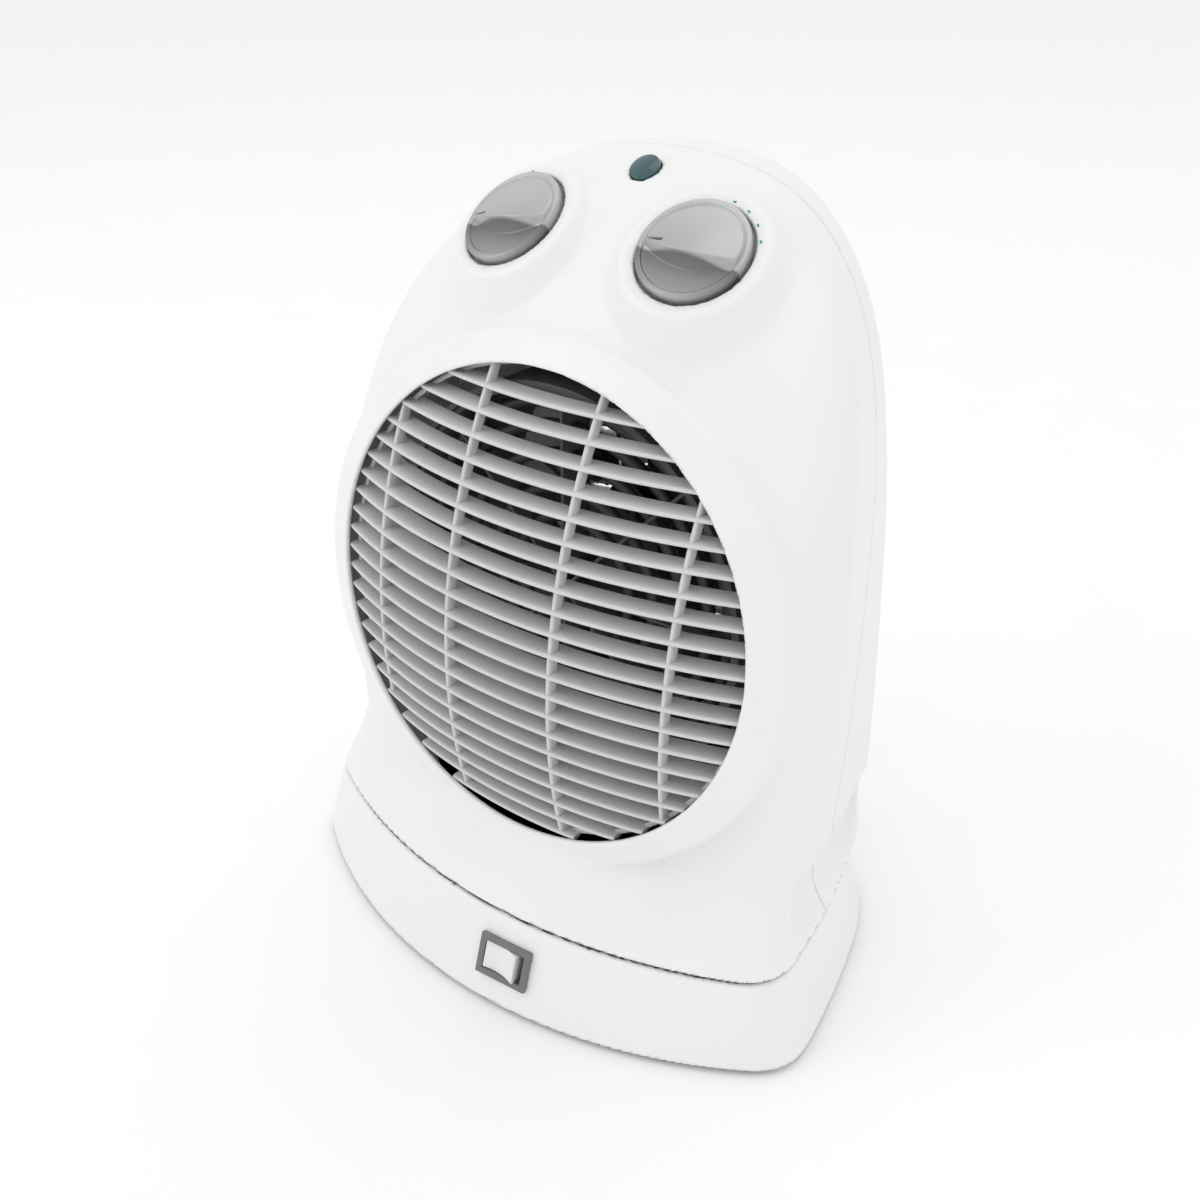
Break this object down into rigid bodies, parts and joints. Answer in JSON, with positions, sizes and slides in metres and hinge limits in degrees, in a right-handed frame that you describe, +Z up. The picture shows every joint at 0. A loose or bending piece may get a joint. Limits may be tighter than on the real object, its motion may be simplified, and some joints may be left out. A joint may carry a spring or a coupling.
{
  "type": "fan convector heater",
  "caption": "Table-top fan heater that swings on a base, with a round louvred outlet, knobs for setting and temperature, a lamp and a rocker switch",
  "frame": {"origin": "centre of the footprint at floor level, on the swing axis", "axes": "+Z up, -Y front, +X to the right seen from the front"},
  "size_m": [0.2288, 0.165, 0.2815],
  "materials": {
    "white_shell": "fine satin moulded",
    "white_grille": "fine satin moulded",
    "white_inner": "moulded",
    "grey_plastic": "moulded",
    "rocker_white": "moulded",
    "black_rubber": "moulded",
    "zinc_screw": "zinc plated",
    "zinc_plate": "galvanised sheet",
    "motor_steel": "plated can",
    "shaft_steel": "ground",
    "black_nylon": "moulded",
    "pale_nylon": "moulded",
    "silver_knob": "silver lacquer",
    "thermostat_cream": "moulded",
    "lamp_lens": "tinted",
    "mica": "layered sheet",
    "coil_wire": "oxidised",
    "fan_plastic": "moulded"
  },
  "bodies": {
    "base": {"base_shell": "white_shell", "base_plate": "grey_plastic", "base_screws": "zinc_screw", "rubber_feet": "black_rubber", "switch_body": "grey_plastic", "cord_gland": "grey_plastic", "swing_motor": "motor_steel", "swing_motor_screws": "zinc_screw", "pivot_bush": "black_nylon", "glide_pads": "pale_nylon"},
    "crank": {"crank_arm": "black_nylon"},
    "rocker": {"switch_rocker": "rocker_white"},
    "housing": {"turntable_hub": "white_inner", "retaining_washer": "zinc_plate", "housing_floor": "white_inner", "front_cover": "white_shell", "rear_cover": "white_shell", "grip_cup": "white_shell", "front_grille": "white_grille", "cover_screws": "zinc_screw", "floor_screws": "zinc_screw", "rotary_switch": "black_nylon", "thermostat": "thermostat_cream", "indicator_lens": "lamp_lens", "lamp_holder": "black_nylon", "heater_shroud": "zinc_plate", "heater_frame": "mica", "heater_coils": "coil_wire", "thermal_cutout": "black_nylon", "fan_motor": "motor_steel", "motor_bracket": "zinc_plate", "bracket_screws": "zinc_screw", "tilt_switch": "black_nylon"},
    "function_knob_body": {"function_knob": "silver_knob"},
    "thermostat_knob_body": {"thermostat_knob": "silver_knob"},
    "fan": {"fan_blade": "fan_plastic", "motor_shaft": "shaft_steel"}
  },
  "joints": [
    {"name": "housing_swing", "type": "hinge", "parent": "base", "child": "housing", "pos_m": [0, 0, 0.03], "axis": [0, 0, 1], "range_deg": [-30, 30]},
    {"name": "crank_turn", "type": "hinge", "parent": "base", "child": "crank", "pos_m": [0, 0.042, 0.03], "axis": [0, 0, 1], "range_deg": [-90, 90]},
    {"name": "rocker_tilt", "type": "hinge", "parent": "base", "child": "rocker", "pos_m": [0.0163, -0.07333, 0.01763], "axis": [-0.03, 0.3454, 0.938], "range_deg": [0, 20]},
    {"name": "function_turn", "type": "hinge", "parent": "housing", "child": "function_knob_body", "pos_m": [-0.0354, -0.001, 0.2551], "axis": [-0.1126, -0.6361, 0.7633], "range_deg": [-150, 150]},
    {"name": "thermostat_turn", "type": "hinge", "parent": "housing", "child": "thermostat_knob_body", "pos_m": [0.0354, -0.001, 0.2551], "axis": [0.1126, -0.6361, 0.7633], "range_deg": [-135, 135]},
    {"name": "fan_spin", "type": "hinge", "parent": "housing", "child": "fan", "pos_m": [0, 0.022, 0.1395], "axis": [0, 1, 0], "continuous": true}
  ],
  "couplings": [
    {"joint": "crank_turn", "follows": "housing_swing", "ratio": 3}
  ]
}
